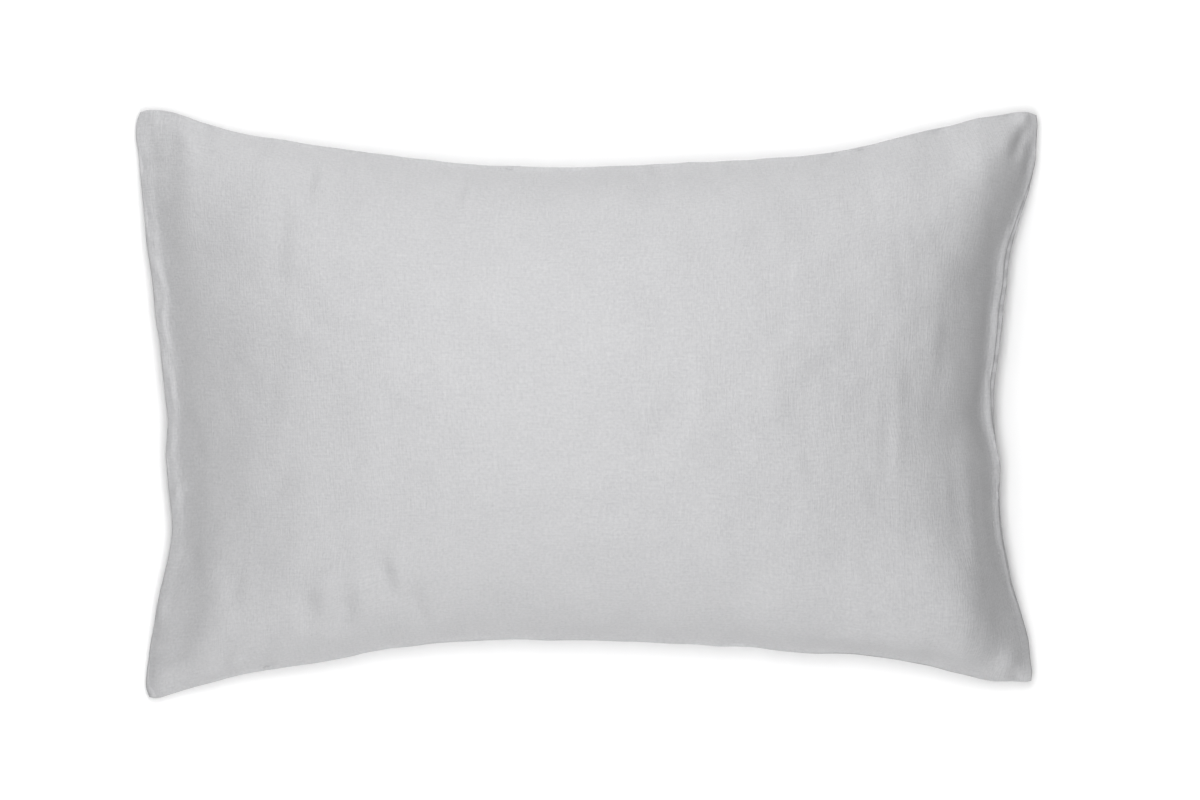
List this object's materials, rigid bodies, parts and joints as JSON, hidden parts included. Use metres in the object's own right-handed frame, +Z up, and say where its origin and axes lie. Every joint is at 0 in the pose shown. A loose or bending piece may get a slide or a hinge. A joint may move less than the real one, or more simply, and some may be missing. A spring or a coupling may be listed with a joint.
{
  "type": "filled pillowcase",
  "caption": "Filled rectangular linen pillowcase lying flat, with drawn-in sides, a domed crown, a flat end seam and a narrow hemmed mouth.",
  "frame": {"origin": "on the resting surface, under the middle of the case's outline", "axes": "+X along the case from the closed end to the mouth, +Y across it, +Z up, away from the surface"},
  "size_m": [0.734, 0.482, 0.1934],
  "materials": {
    "linen": "matte plain-woven light grey linen"
  },
  "bodies": {
    "root": {"filled_case": "linen"}
  },
  "joints": []
}
